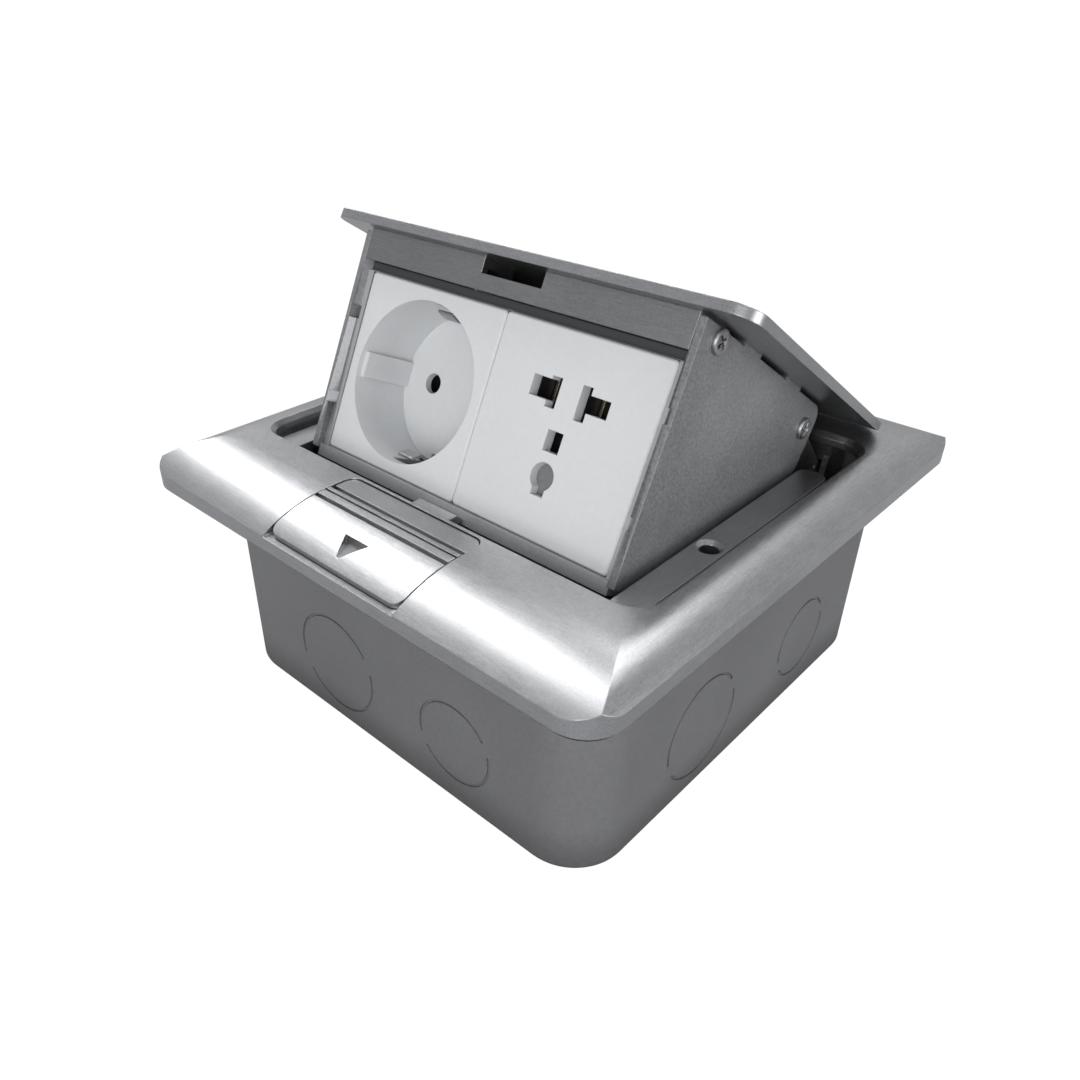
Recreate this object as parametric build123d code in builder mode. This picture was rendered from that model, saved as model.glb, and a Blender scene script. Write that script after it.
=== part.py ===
"""Floor socket box with a pop-up carriage that holds two socket modules.

The part stands on the bottom of its back box, with the origin at the middle of that
bottom. X runs along the front edge, Y to the rear and Z up. It is drawn as it stands
open: the carriage is laid out on planes of the closed lid, turned about the hinge pins.
"""
from build123d import *
from math import cos, radians, sin, sqrt
import os

os.makedirs("parts", exist_ok=True)

# Back box
BOX_W = 123.4
BOX_D = 128.8
BOX_H = 56.0
BOX_WALL = 1.5
BOX_CORNER_R = 14.0
BOX_FOOT_R = 2.5
KNOCK_BIG_R = 13.8
KNOCK_SMALL_R = 11.2
KNOCK_Z = 19.0
KNOCK_GROOVE = 0.7
KNOCK_GROOVE_DEPTH = 0.4
KNOCK_FRONT_X = (-17.5, 24.0)
KNOCK_SIDE_Y = (21.5, -24.8)
KNOCK_BRIDGE = 24.0
BASE_HOLE_R = 2.25
BASE_HOLE_GAP = 80.0

# Frame
FRAME_W = 142.6
FRAME_D = 154.4
FRAME_R = 9.0
SEAT_DROP = 9.0
BAND_LOW = 8.6
BAND_TOP = 4.9
FRAME_WALL = 3.0
SKIN_OVER = 1.0
RAIL_FLAT_Y = 58.0
RAIL_FLAT_X = 62.1
OPEN_HALF_W = 59.7
OPEN_FRONT = 48.7
OPEN_REAR = 47.4
OPEN_R = 6.0
REAR_BREAK = 1.2
WELL_WALL = 2.4
GASKET_T = 1.0
GASKET_INSET = 0.8
GASKET_CLEAR = 0.3

# Ledges beside the carriage and the screw lugs under them
LEDGE_IN = 50.3
LEDGE_OUT = 57.6
LEDGE_DROP = 3.5
LEDGE_T = 2.0
LEDGE_GROOVE = 2.0
LEDGE_REAR = 32.5
FIX_X = 53.8
FIX_Y = -15.4
FIX_R = 2.2
FIX_HEAD_R = 4.0
FIX_TAP_R = 1.65
LUG_T = 3.0
LUG_LEN = 13.0

# Lid and hinge
LID_GAP = 0.4
LID_REAR_GAP = 1.0
LID_T = 2.2
LID_REAR_R = 8.0
LID_FEATHER = 0.4
LID_BEVEL = 7.5
PIVOT_Y = 54.0
PIVOT_DROP = 23.0
OPEN_ANGLE = 32.0
PIN_R = 2.5
PIN_RUN = 0.05
ARM_T = 2.0
ARM_END_R = 6.0
ARM_MID = (16.0, -13.5)
ARM_FOOT = (16.0, 11.0)
ARM_CORNER_R = 3.0
BRACKET_Y = (50.6, 60.0)
EAR_FROM = 33.0
PIN_HEAD_T = 1.2
EAR_T = 1.6
EAR_GAP = 0.5
SPRING_WIRE = 1.3
SPRING_R = 4.4
SPRING_TURNS = 4
SPRING_LAST_TURN = 224.4
SPRING_PITCH = 1.5
SPRING_LEG = 14.0
SPRING_LEG_UP = 9.0
SPRING_BEND = 1.6
KNUCKLE = 0.1

# Carriage
PLATE_OUT = 48.8
PLATE_T = 1.8
PLATE_TOP_GAP = 0.8
PLATE_LEAD = 2.0
FACE_LEAN = 6.7
FACE_Y = -36.4
FACE_DROP = 56.3
MODULE = 45.0
MODULE_FLANGE = 3.0
RAIL_LOW = 47.3
RAIL_T = 2.0
RAIL_SHELF = 9.0
NOTCH_W = 17.6
NOTCH_LOW = 51.0
RAIL_BOSS_W = 7.0
RAIL_BOSS_LOW = 8.2
PLATE_FOOT = -1.2
PLATE_REAR = 25.0
PLATE_REAR_LOW = 20.0
PLATE_TOE = -26.0
PLATE_CORNER_R = 4.0
TAB_LEN = 11.0
TAB_W = 9.0
CARRIER_T = 2.0
CARRIER_FOOT = -3.2
CARRIER_TOP = 47.2
CARRIER_LIP = 1.0
CARRIER_SET_BACK = 1.0
CARRIER_FLANGE_T = 1.8
CARRIER_FLANGE_V = (4.0, 42.0)
CARRIER_FLANGE_DEPTH = 14.0
CLIP_V = ((10.6, 13.7), (32.7, 35.9))
CLIP_DEPTH = (8.0, 11.5)
SEAM = 0.1
HOUSING = 42.4
HOUSING_DEPTH = 32.0
WINDOW_CLEAR = 0.25

# Socket modules
CUP_R = 19.5
CUP_WALL = 1.2
CUP_DEPTH = 17.5
CUP_FLOOR = 2.0
PIN_PITCH = 19.0
PIN_HOLE_R = 2.6
GUIDE_W = 6.5
GUIDE_H = 1.4
CLIP_W = 5.0
CLIP_T = 0.8
CLIP_SLOT = 6.0
CLIP_TIP = 4.0
FIT = 0.2
CONTACT_T = 0.8
CONTACT_LEN = 9.0
CONTACT_W = 5.0
CONTACT_OPEN = 4.6
POCKET_W = 8.0
POCKET_L = 7.0
UNIVERSAL_OPENINGS = (
    ((12.3, 19.9), (29.5, 34.0)),
    ((17.2, 19.9), (28.1, 34.8)),
    ((25.4, 28.0), (27.4, 34.9)),
    ((25.4, 33.2), (29.5, 33.3)),
    ((20.2, 24.4), (19.3, 23.9)),
    ((20.6, 24.0), (9.6, 13.9)),
)
UNIVERSAL_EARTH = (22.3, 13.9)
UNIVERSAL_EARTH_R = 3.1
UNIVERSAL_POCKETS = (
    ("line", (16.1, 31.5), (9.6, 10.0)),
    ("neutral", (29.3, 31.5), (9.6, 10.0)),
    ("earth", (22.3, 16.5), (8.0, 16.0)),
)
POCKET_DEPTH = 14.0
SHUTTER_T = 1.5
SHUTTER_X = (9.5, 36.0)
SHUTTER_V = (7.5, 37.5)

# Latch in the front rail
BUTTON_HALF_W = 21.3
SLOT_CLEAR = 0.3
SLOT_REAR = 50.7
SLOT_R = 3.0
SLOT_DROP = 5.2
FLOOR_T = 2.2
BUTTON_FRONT = 75.5
BUTTON_SKIM = 0.15
RIDGE_Y = (57.0, 61.5)
RIDGE_W = 0.9
RIDGE_DEPTH = 0.5
STRIP_DROP = 0.35
MARK_BASE_Y = 67.6
MARK_TIP_Y = 73.7
MARK_HALF_W = 3.8
MARK_FLOOR = 3.0
LATCH_TRAVEL = 4.5
TONGUE_HALF_W = 6.0
TONGUE_T = 2.2
TONGUE_TIP = 42.3
TONGUE_TAIL = 62.0
TONGUE_RISE = 0.2
TONGUE_HEAD_HALF_W = 13.0
TONGUE_HEAD_REAR = 54.5
CHANNEL_W = 3.0
CHANNEL_TOP = 2.7
LATCH_SCREW_X = 10.5
LATCH_SCREW_Y = 58.0
LATCH_SCREW_R = 1.0
LATCH_HEAD_R = 1.9
COLLAR_R = 1.8
SLIDE_PLATE_T = 0.9
SLIDE_PLATE_HALF_W = 15.0
SLIDE_Y = (-62.0, -54.0)
PLATE_GAP = 0.2
COIL_X = 17.0
COIL_R = 0.85
COIL_WIRE = 0.4
COIL_TURNS = 7
COIL_FRONT = 66.0
COIL_REAR = 57.6
COIL_LUG = 1.0

# Screws
LID_SCREW_X = 41.5
LID_SCREW_Y = (-22.0, 4.0)
LID_SCREW_R = 1.25
LID_TAP = 1.5
LID_HEAD_R = 2.4
LID_HEAD_T = 1.4
SIDE_SCREW_R = 1.5
SIDE_HEAD_R = 2.7
SIDE_HEAD_T = 0.9
SIDE_FRONT = (-37.2, -5.4)
SIDE_REAR = (18.8, -9.6)
SIDE_FRONT_LEN = 6.0
BASE_SCREW_R = 1.5
BASE_SCREW_X = (37.4, 44.6)
BASE_SCREW_LEN = 4.0

# Worked out from the sizes above
TOP = BOX_H + SEAT_DROP
PIVOT_Z = TOP - PIVOT_DROP
TILT = radians(OPEN_ANGLE)
UP = (0, sin(TILT), cos(TILT))


def swung(y, z):
    """Gives the open place of a point of the closed carriage, in Y and Z."""
    dy = y - PIVOT_Y
    dz = z - PIVOT_Z
    return (PIVOT_Y + dy * cos(TILT) + dz * sin(TILT), PIVOT_Z - dy * sin(TILT) + dz * cos(TILT))


top = Plane.XY.offset(TOP)
deck = Plane(origin=(0, *swung(0, TOP)), x_dir=(1, 0, 0), z_dir=UP)
FACE_TILT = radians(90 + FACE_LEAN - OPEN_ANGLE)
face = Plane(
    origin=(0, *swung(FACE_Y, TOP - FACE_DROP)),
    x_dir=(1, 0, 0),
    z_dir=(0, -sin(FACE_TILT), cos(FACE_TILT)),
)
LID_REAR = OPEN_REAR - LID_REAR_GAP
LID_FRONT = OPEN_FRONT - LID_GAP
LID_HALF_W = OPEN_HALF_W - LID_GAP
PLATE_IN = PLATE_OUT - PLATE_T
EAR_IN = (EAR_FROM, EAR_FROM + EAR_T)
EAR_OUT = (PLATE_IN + EAR_GAP, PLATE_IN + EAR_GAP + EAR_T)
SPRING_X = EAR_IN[1] + EAR_GAP + SPRING_WIRE / 2


def across(plane, x):
    """Gives the side plane of a carriage plane at x: its X is the plane's Y, its Y the plane's Z."""
    return Plane(origin=plane.from_local_coords(Vector(x, 0, 0)), x_dir=plane.y_dir, z_dir=(1, 0, 0))


def on_lean(run):
    """Gives the Y that the leaning face plane has at a drop of run under the lid top."""
    return FACE_Y - (FACE_DROP - run) * sin(radians(FACE_LEAN)) / cos(radians(FACE_LEAN))


def dome_drop(flat, half, drop):
    """Gives the radius of a dome that starts level at flat and falls by drop at half."""
    run = half - flat
    return (run * run + drop * drop) / (2 * drop)


DOME_Y_R = dome_drop(RAIL_FLAT_Y, FRAME_D / 2, BAND_TOP)
DOME_X_R = dome_drop(RAIL_FLAT_X, FRAME_W / 2, BAND_TOP)


def arch(flat, half, radius, thick, low):
    """Gives the section of two opposite rails as one arch, thick below the outer skin."""
    inner = radius - thick
    turn = (half + SKIN_OVER - flat) / radius
    rise = sqrt(1 - turn * turn)
    end_x = flat + turn * inner
    end_y = TOP - radius + rise * inner
    mid = sqrt((1 + rise) / 2)
    mid_x = flat + sqrt(1 - mid * mid) * inner
    mid_y = TOP - radius + mid * inner
    with BuildSketch() as section:
        with BuildLine():
            Line((-flat, TOP - thick), (flat, TOP - thick))
            ThreePointArc((flat, TOP - thick), (mid_x, mid_y), (end_x, end_y))
            Line((end_x, end_y), (end_x, low))
            Line((end_x, low), (-end_x, low))
            Line((-end_x, low), (-end_x, end_y))
            ThreePointArc((-end_x, end_y), (-mid_x, mid_y), (-flat, TOP - thick))
        make_face()
    return section.sketch


YZ = Plane(origin=(0, 0, 0), x_dir=(0, 1, 0), z_dir=(1, 0, 0))
XZ = Plane(origin=(0, 0, 0), x_dir=(1, 0, 0), z_dir=(0, -1, 0))
REACH = FRAME_D


def mitred(thick, low):
    """Gives the solid under both rail pairs: where the two arches meet they form a mitre."""
    with BuildPart() as form:
        with BuildSketch(YZ):
            add(arch(RAIL_FLAT_Y, FRAME_D / 2, DOME_Y_R, thick, low))
        extrude(amount=REACH, both=True)
        with BuildSketch(XZ):
            add(arch(RAIL_FLAT_X, FRAME_W / 2, DOME_X_R, thick, low))
        extrude(amount=REACH, both=True, mode=Mode.INTERSECT)
    return form.part


outer_form = mitred(0, TOP - BAND_LOW)
inner_form = mitred(FRAME_WALL, TOP - BAND_LOW - 1)
SLOT_HALF_W = BUTTON_HALF_W + SLOT_CLEAR
FLOOR_LOW = SLOT_DROP + FLOOR_T
FLOOR_HALF_W = SLOT_HALF_W + FRAME_WALL
OPEN_MID_Y = (OPEN_REAR - OPEN_FRONT) / 2
OPEN_D = OPEN_REAR + OPEN_FRONT

# Hollow under the rails of the frame
with BuildPart() as pocket:
    with BuildSketch(Plane.XY.offset(TOP - SEAT_DROP)):
        RectangleRounded(FRAME_W - 2 * FRAME_WALL, FRAME_D - 2 * FRAME_WALL, FRAME_R - FRAME_WALL)
    extrude(amount=SEAT_DROP)
    add(inner_form, mode=Mode.INTERSECT)

# Frame: a thin casting with mitred domed rails round the opening
with BuildPart() as frame:
    with BuildSketch(Plane.XY.offset(TOP - BAND_LOW)):
        RectangleRounded(FRAME_W, FRAME_D, FRAME_R)
    extrude(amount=BAND_LOW)
    add(outer_form, mode=Mode.INTERSECT)
    add(pocket.part, mode=Mode.SUBTRACT)
    # Rib that stands on the rim of the back box, and the shelf under the latch button
    with BuildSketch(Plane.XY.offset(TOP - SEAT_DROP)):
        RectangleRounded(BOX_W, BOX_D, BOX_CORNER_R)
        inset = 2 * WELL_WALL
        RectangleRounded(BOX_W - inset, BOX_D - inset, BOX_CORNER_R - WELL_WALL, mode=Mode.SUBTRACT)
    extrude(amount=SEAT_DROP - FRAME_WALL + 0.4)
    shelf_front = FRAME_D / 2 - FRAME_WALL / 2
    shelf_rear = OPEN_FRONT
    with BuildSketch(Plane.XY.offset(TOP - FLOOR_LOW)):
        with Locations((0, -(shelf_front + shelf_rear) / 2)):
            Rectangle(2 * FLOOR_HALF_W, shelf_front - shelf_rear)
    extrude(amount=FLOOR_LOW - BAND_TOP + 0.2)
    # Walls of the well at both sides, with the ledges
    for side in (-1, 1):
        with BuildSketch(Plane.XY.offset(TOP - SEAT_DROP)):
            with Locations((side * (OPEN_HALF_W + BOX_W / 2) / 2, -1)):
                Rectangle(BOX_W / 2 - OPEN_HALF_W, OPEN_D - 4)
        extrude(amount=SEAT_DROP - FRAME_WALL + 0.4)
    with BuildSketch(top):
        with Locations((0, OPEN_MID_Y)):
            RectangleRounded(2 * OPEN_HALF_W, OPEN_D, OPEN_R)
    extrude(amount=-(BAND_LOW + 1), mode=Mode.SUBTRACT)
    for side in (-1, 1):
        land = Plane.XY.offset(TOP - LEDGE_DROP)
        land_mid = (LEDGE_IN + LEDGE_OUT) / 2
        land_len = OPEN_FRONT + LEDGE_REAR
        land_y = (LEDGE_REAR - OPEN_FRONT) / 2
        with BuildSketch(land):
            with Locations((side * land_mid, land_y)):
                RectangleRounded(LEDGE_OUT - LEDGE_IN, land_len, (LEDGE_OUT - LEDGE_IN) / 2 - 0.1)
        extrude(amount=-(LEDGE_GROOVE + LEDGE_T))
        with BuildSketch(Plane.XY.offset(TOP - LEDGE_DROP - LEDGE_GROOVE)):
            with Locations((side * (land_mid + OPEN_HALF_W) / 2, land_y - 3)):
                Rectangle(OPEN_HALF_W - land_mid + 0.4, land_len - 12)
        extrude(amount=-LEDGE_T)
        with BuildSketch(Plane.XY.offset(TOP - SEAT_DROP)):
            with Locations((side * (FIX_X + 0.7), FIX_Y)):
                Rectangle(2 * FIX_HEAD_R - 1.4, 2 * FIX_HEAD_R + 2)
        extrude(amount=SEAT_DROP - LEDGE_DROP - 1)
        with Locations(land.offset(0) * Location((side * FIX_X, FIX_Y, 0))):
            CounterSinkHole(FIX_R, FIX_HEAD_R - 0.9, depth=SEAT_DROP, counter_sink_angle=90)
    # Slot, shelf and openings of the latch
    with BuildSketch(Plane.XY.offset(TOP - SLOT_DROP)):
        slot_front = FRAME_D / 2 + 4
        with Locations((0, -(slot_front + SLOT_REAR) / 2)):
            RectangleRounded(2 * SLOT_HALF_W, slot_front - SLOT_REAR, SLOT_R)
    extrude(amount=SLOT_DROP + 1, mode=Mode.SUBTRACT)
    tongue_z = TOP - SLOT_DROP
    with BuildSketch(Plane.XY.offset(tongue_z)):
        with Locations((0, -(OPEN_FRONT + SLOT_REAR) / 2)):
            Rectangle(2 * (TONGUE_HALF_W + SLOT_CLEAR), SLOT_REAR - OPEN_FRONT + 2)
    extrude(amount=TONGUE_T + 2 * TONGUE_RISE, mode=Mode.SUBTRACT)
    with BuildSketch(Plane.XY.offset(TOP - FLOOR_LOW)):
        with Locations(*[(s * LATCH_SCREW_X, -LATCH_SCREW_Y - LATCH_TRAVEL / 2) for s in (-1, 1)]):
            collar_room = 2 * (COLLAR_R + SLOT_CLEAR)
            SlotOverall(LATCH_TRAVEL + collar_room + 0.4, collar_room, rotation=90)
    extrude(amount=FLOOR_T, mode=Mode.SUBTRACT)
    plate_room = 2 * (SLIDE_PLATE_HALF_W + 1)
    with BuildSketch(Plane.XY.offset(TOP - SEAT_DROP)):
        with Locations((0, -BOX_D / 2)):
            Rectangle(plate_room, 12)
    extrude(amount=SEAT_DROP - FLOOR_LOW, mode=Mode.SUBTRACT)
    with BuildSketch(Plane.XY.offset(TOP - SLOT_DROP)):
        with Locations(*[(s * COIL_X, -(COIL_FRONT + COIL_LUG / 2)) for s in (-1, 1)]):
            Rectangle(2 * COIL_R, COIL_LUG)
    extrude(amount=2 * COIL_R)
    # Bosses for the hinge brackets under the rear rail
    with BuildSketch(Plane.XY.offset(TOP - SEAT_DROP + LUG_T / 2)):
        with Locations((-41, 55), (41, 55)):
            Rectangle(17, 9)
    extrude(amount=SEAT_DROP - LUG_T / 2 - FRAME_WALL + 0.4)
    with BuildSketch(Plane.XY.offset(TOP - SEAT_DROP + LUG_T / 2)):
        with Locations(*[(side * x, PIVOT_Y + 1) for x in BASE_SCREW_X for side in (-1, 1)]):
            Circle(BASE_SCREW_R)
    extrude(amount=BASE_SCREW_LEN, mode=Mode.SUBTRACT)
    well_top = frame.edges().filter_by(lambda e: abs(e.center().Z - TOP) < 0.01)
    well_rear = well_top.filter_by(
        lambda e: e.center().Y > OPEN_REAR - OPEN_R and e.center().Y < OPEN_REAR + 0.1
        and abs(e.center().X) < OPEN_HALF_W)
    chamfer(well_rear, REAR_BREAK)
frame.part.label = "frame"
export_step(frame.part, "parts/frame.step")


def side_list(*pairs):
    """Mirrors each place to the other side of the part."""
    return [(side * x, y) for x, y in pairs for side in (-1, 1)]


# Gasket under the outer band of the frame
with BuildPart() as gasket:
    with BuildSketch(Plane.XY.offset(TOP - BAND_LOW - GASKET_T)):
        RectangleRounded(FRAME_W - 2 * GASKET_INSET, FRAME_D - 2 * GASKET_INSET, FRAME_R - GASKET_INSET)
        RectangleRounded(BOX_W + 2 * GASKET_CLEAR, BOX_D + 2 * GASKET_CLEAR, BOX_CORNER_R,
                         mode=Mode.SUBTRACT)
    extrude(amount=GASKET_T)
gasket.part.label = "gasket"
export_step(gasket.part, "parts/gasket.step")

# Back box: drawn steel shell with part-punched conduit knockouts and two screw lugs
with BuildPart() as back_box:
    with BuildSketch():
        RectangleRounded(BOX_W, BOX_D, BOX_CORNER_R)
    extrude(amount=BOX_H)
    fillet(back_box.faces().sort_by(Axis.Z)[0].edges(), BOX_FOOT_R)
    offset(amount=-BOX_WALL, openings=back_box.faces().sort_by(Axis.Z)[-1])
    knock_walls = []
    for turn, half, places in (
        (0, BOX_D / 2, KNOCK_FRONT_X),
        (180, BOX_D / 2, KNOCK_FRONT_X),
        (90, BOX_W / 2, tuple(-y for y in KNOCK_SIDE_Y)),
        (270, BOX_W / 2, KNOCK_SIDE_Y),
    ):
        wall = Plane.XY.rotated((0, 0, turn))
        knock_walls.append((Plane(
            origin=wall.from_local_coords(Vector(0, -half, 0)), x_dir=wall.x_dir, z_dir=-wall.y_dir), places))
    for wall, (big_x, small_x) in knock_walls:
        for x, r in ((big_x, KNOCK_BIG_R), (small_x, KNOCK_SMALL_R)):
            with BuildSketch(wall):
                with Locations((x, KNOCK_Z)):
                    Circle(r)
                    Circle(r - KNOCK_GROOVE, mode=Mode.SUBTRACT)
                    with PolarLocations(r, 2, KNOCK_BRIDGE):
                        Rectangle(r / 3, r / 3, mode=Mode.SUBTRACT)
            extrude(amount=-KNOCK_GROOVE_DEPTH, mode=Mode.SUBTRACT)
    lug_out = BOX_W / 2 - BOX_WALL / 2
    lug_in = LEDGE_IN - 0.3
    with BuildSketch(Plane.XY.offset(BOX_H)):
        with Locations(*side_list(((lug_in + lug_out) / 2, FIX_Y))):
            RectangleRounded(lug_out - lug_in, LUG_LEN, 1.5)
    extrude(amount=-LUG_T)
    with Locations(*[(x, y, BOX_H) for x, y in side_list((FIX_X, FIX_Y))]):
        Hole(FIX_TAP_R, depth=LUG_T)
    with Locations((0, -BASE_HOLE_GAP / 2, BOX_WALL), (0, BASE_HOLE_GAP / 2, BOX_WALL)):
        Hole(BASE_HOLE_R, depth=BOX_WALL)
back_box.part.label = "back_box"
export_step(back_box.part, "parts/back_box.step")

# Lid: a flat plate whose rear end is bevelled below, so that it rides up over the rear rail
side_view = across(deck, 0)
LID_LEN = LID_FRONT + LID_REAR
with BuildPart() as lid:
    with BuildSketch(deck) as lid_plan:
        with Locations((0, (LID_REAR - LID_FRONT) / 2)):
            Rectangle(2 * LID_HALF_W, LID_LEN)
        fillet(lid_plan.vertices().group_by(Axis.Y)[0], OPEN_R - LID_GAP)
        fillet(lid_plan.vertices().group_by(Axis.Y)[-1], LID_REAR_R)
    extrude(amount=-LID_T)
    with BuildSketch(side_view):
        with BuildLine():
            Polyline(
                (LID_REAR - LID_BEVEL, -LID_T),
                (LID_REAR, -LID_FEATHER),
                (LID_REAR + 1, -LID_FEATHER),
                (LID_REAR + 1, -LID_T - 1),
                (LID_REAR - LID_BEVEL, -LID_T - 1),
                close=True,
            )
        make_face()
    extrude(amount=LID_HALF_W + 1, both=True, mode=Mode.SUBTRACT)
    with BuildSketch(deck.offset(-LID_T)):
        with Locations(*side_list(*[(LID_SCREW_X, y) for y in LID_SCREW_Y])):
            Circle(LID_SCREW_R)
    extrude(amount=LID_TAP, mode=Mode.SUBTRACT)
lid.part.label = "lid"
export_step(lid.part, "parts/lid.step")


def lean(v, lead):
    """Gives the closed Y and Z of a point v up the module face and lead in front of it."""
    angle = radians(FACE_LEAN)
    return (FACE_Y - v * sin(angle) - lead * cos(angle), -FACE_DROP + v * cos(angle) - lead * sin(angle))


def lean_top(drop, lead):
    """Gives how far up the face a line, lead in front of it, meets the level drop under the lid top."""
    angle = radians(FACE_LEAN)
    return (FACE_DROP - drop + lead * sin(angle)) / cos(angle)


def block(plane, xs, ys, zs):
    """Gives a block that spans the given ranges in the coordinates of a plane."""
    with BuildPart() as solid:
        with BuildSketch(plane.offset(min(zs))):
            with Locations(((xs[0] + xs[1]) / 2, (ys[0] + ys[1]) / 2)):
                Rectangle(abs(xs[1] - xs[0]), abs(ys[1] - ys[0]))
        extrude(amount=max(zs) - min(zs))
    return solid.part


def spot(plane, x, y):
    """Gives a plane with its origin moved to x and y of the given plane."""
    return Plane(origin=plane.from_local_coords(Vector(x, y, 0)), x_dir=plane.x_dir, z_dir=plane.z_dir)


def screw(plane, radius, length, head_r, head_t):
    """Gives a pan screw whose head stands on a plane and whose shank goes down through it."""
    with BuildPart() as solid:
        with BuildSketch(plane):
            Circle(head_r)
        extrude(amount=head_t)
        fillet(solid.faces().sort_by(SortBy.AREA)[-1].edges(), head_t / 3)
        with BuildSketch(plane):
            Circle(radius)
        extrude(amount=-length)
    return solid.part


# Rail under the front of the lid, with the notch that the latch tongue enters
SHELF_END = on_lean(LID_T) + RAIL_SHELF
with BuildPart() as top_rail:
    with BuildSketch(side_view):
        with BuildLine():
            Polyline(
                lean(RAIL_LOW, PLATE_LEAD),
                lean(lean_top(LID_T, PLATE_LEAD), PLATE_LEAD),
                (SHELF_END, -LID_T),
                (SHELF_END, -LID_T - RAIL_T),
                lean(lean_top(LID_T + RAIL_T, PLATE_LEAD - RAIL_T), PLATE_LEAD - RAIL_T),
                lean(RAIL_LOW, PLATE_LEAD - RAIL_T),
                close=True,
            )
        make_face()
    extrude(amount=PLATE_IN, both=True)
    boss_front = lean(RAIL_LOW, PLATE_LEAD / 2)[0]
    for side in (-1, 1):
        add(block(deck, (side * (PLATE_IN - RAIL_BOSS_W), side * PLATE_IN), (boss_front, SHELF_END),
                  (-RAIL_BOSS_LOW, -LID_T)))
        with BuildSketch(across(deck, side * PLATE_IN)):
            with Locations(SIDE_FRONT):
                Circle(SIDE_SCREW_R)
        extrude(amount=-side * SIDE_FRONT_LEN, mode=Mode.SUBTRACT)
    notch_v = (NOTCH_LOW, FACE_DROP + 3)
    add(block(face, (-NOTCH_W / 2, NOTCH_W / 2), notch_v, (-RAIL_SHELF - 4, PLATE_LEAD + 1)),
        mode=Mode.SUBTRACT)
top_rail.part.label = "top_rail"
export_step(top_rail.part, "parts/top_rail.step")

# Side plates of the carriage, with tabs bent in under the lid
for hand, side in (("left", -1), ("right", 1)):
    with BuildPart() as side_plate:
        with BuildSketch(across(deck, side * PLATE_IN)) as profile:
            plate_top = -(LID_T + PLATE_TOP_GAP)
            foot = lean(PLATE_FOOT, PLATE_LEAD)
            with BuildLine():
                Polyline(
                    foot,
                    lean(lean_top(-plate_top, PLATE_LEAD), PLATE_LEAD),
                    (PLATE_REAR, plate_top),
                    (PLATE_REAR, -PLATE_REAR_LOW),
                    (PLATE_TOE, foot[1]),
                    close=True,
                )
            make_face()
            rear_corners = profile.vertices().group_by(Axis.X)[-1]
            toe_corner = profile.vertices().sort_by_distance((PLATE_TOE, foot[1]))[0]
            fillet([*rear_corners, toe_corner], PLATE_CORNER_R)
        extrude(amount=side * PLATE_T)
        for y in LID_SCREW_Y:
            add(block(deck, (side * (PLATE_OUT - TAB_LEN), side * PLATE_OUT), (y - TAB_W / 2, y + TAB_W / 2),
                      (-LID_T - PLATE_T, -LID_T)))
        with BuildSketch(deck.offset(-LID_T)):
            with Locations(*[(side * LID_SCREW_X, y) for y in LID_SCREW_Y]):
                Circle(LID_SCREW_R)
        extrude(amount=-PLATE_T, mode=Mode.SUBTRACT)
        with BuildSketch(across(deck, side * PLATE_IN)):
            with Locations(SIDE_FRONT, SIDE_REAR):
                Circle(SIDE_SCREW_R)
        extrude(amount=side * PLATE_T, mode=Mode.SUBTRACT)
        for low, high in CLIP_V:
            add(block(face, (side * (PLATE_IN - CARRIER_FLANGE_T), side * PLATE_IN), (low + FIT, high - FIT),
                      (-CLIP_DEPTH[1] + FIT, -CLIP_DEPTH[0] - FIT)))
    side_plate.part.label = f"side_plate_{hand}"
    export_step(side_plate.part, f"parts/side_plate_{hand}.step")

# Torsion spring of the right side: bent leg in the ear, coil round the pin, bent leg in the arm
coil_axis = Plane(origin=(SPRING_X, PIVOT_Y, PIVOT_Z), x_dir=(0, -1, 0), z_dir=(1, 0, 0))
spring_turns = SPRING_TURNS + SPRING_LAST_TURN / 360
coil = coil_axis * Helix(SPRING_PITCH, SPRING_PITCH * spring_turns, SPRING_R)
ear_bend = coil @ 0 + Vector(0, 0, SPRING_LEG_UP)
arm_bend = coil @ 1 + Vector(0, (coil % 1).Y, (coil % 1).Z).normalized() * SPRING_LEG
spring_knuckles = (ear_bend, coil @ 0, coil @ 1, arm_bend)
with BuildPart() as spring_form:
    with BuildSketch(Plane(origin=coil @ 0, z_dir=coil % 0)):
        Circle(SPRING_WIRE / 2)
    sweep(path=Wire([coil]))
    with Locations(*spring_knuckles):
        Sphere(SPRING_WIRE / 2 + KNUCKLE)
    legs = (
        (coil @ 0, ear_bend),
        (ear_bend, Vector(EAR_IN[1] - SPRING_BEND, ear_bend.Y, ear_bend.Z)),
        (coil @ 1, arm_bend),
        (arm_bend, Vector(PLATE_IN - ARM_T + SPRING_BEND, arm_bend.Y, arm_bend.Z)),
    )
    for near, far in legs:
        with BuildSketch(Plane(origin=near, z_dir=far - near)):
            Circle(SPRING_WIRE / 2)
        extrude(amount=(far - near).length)
leg_end = deck.to_local_coords(arm_bend)

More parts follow.
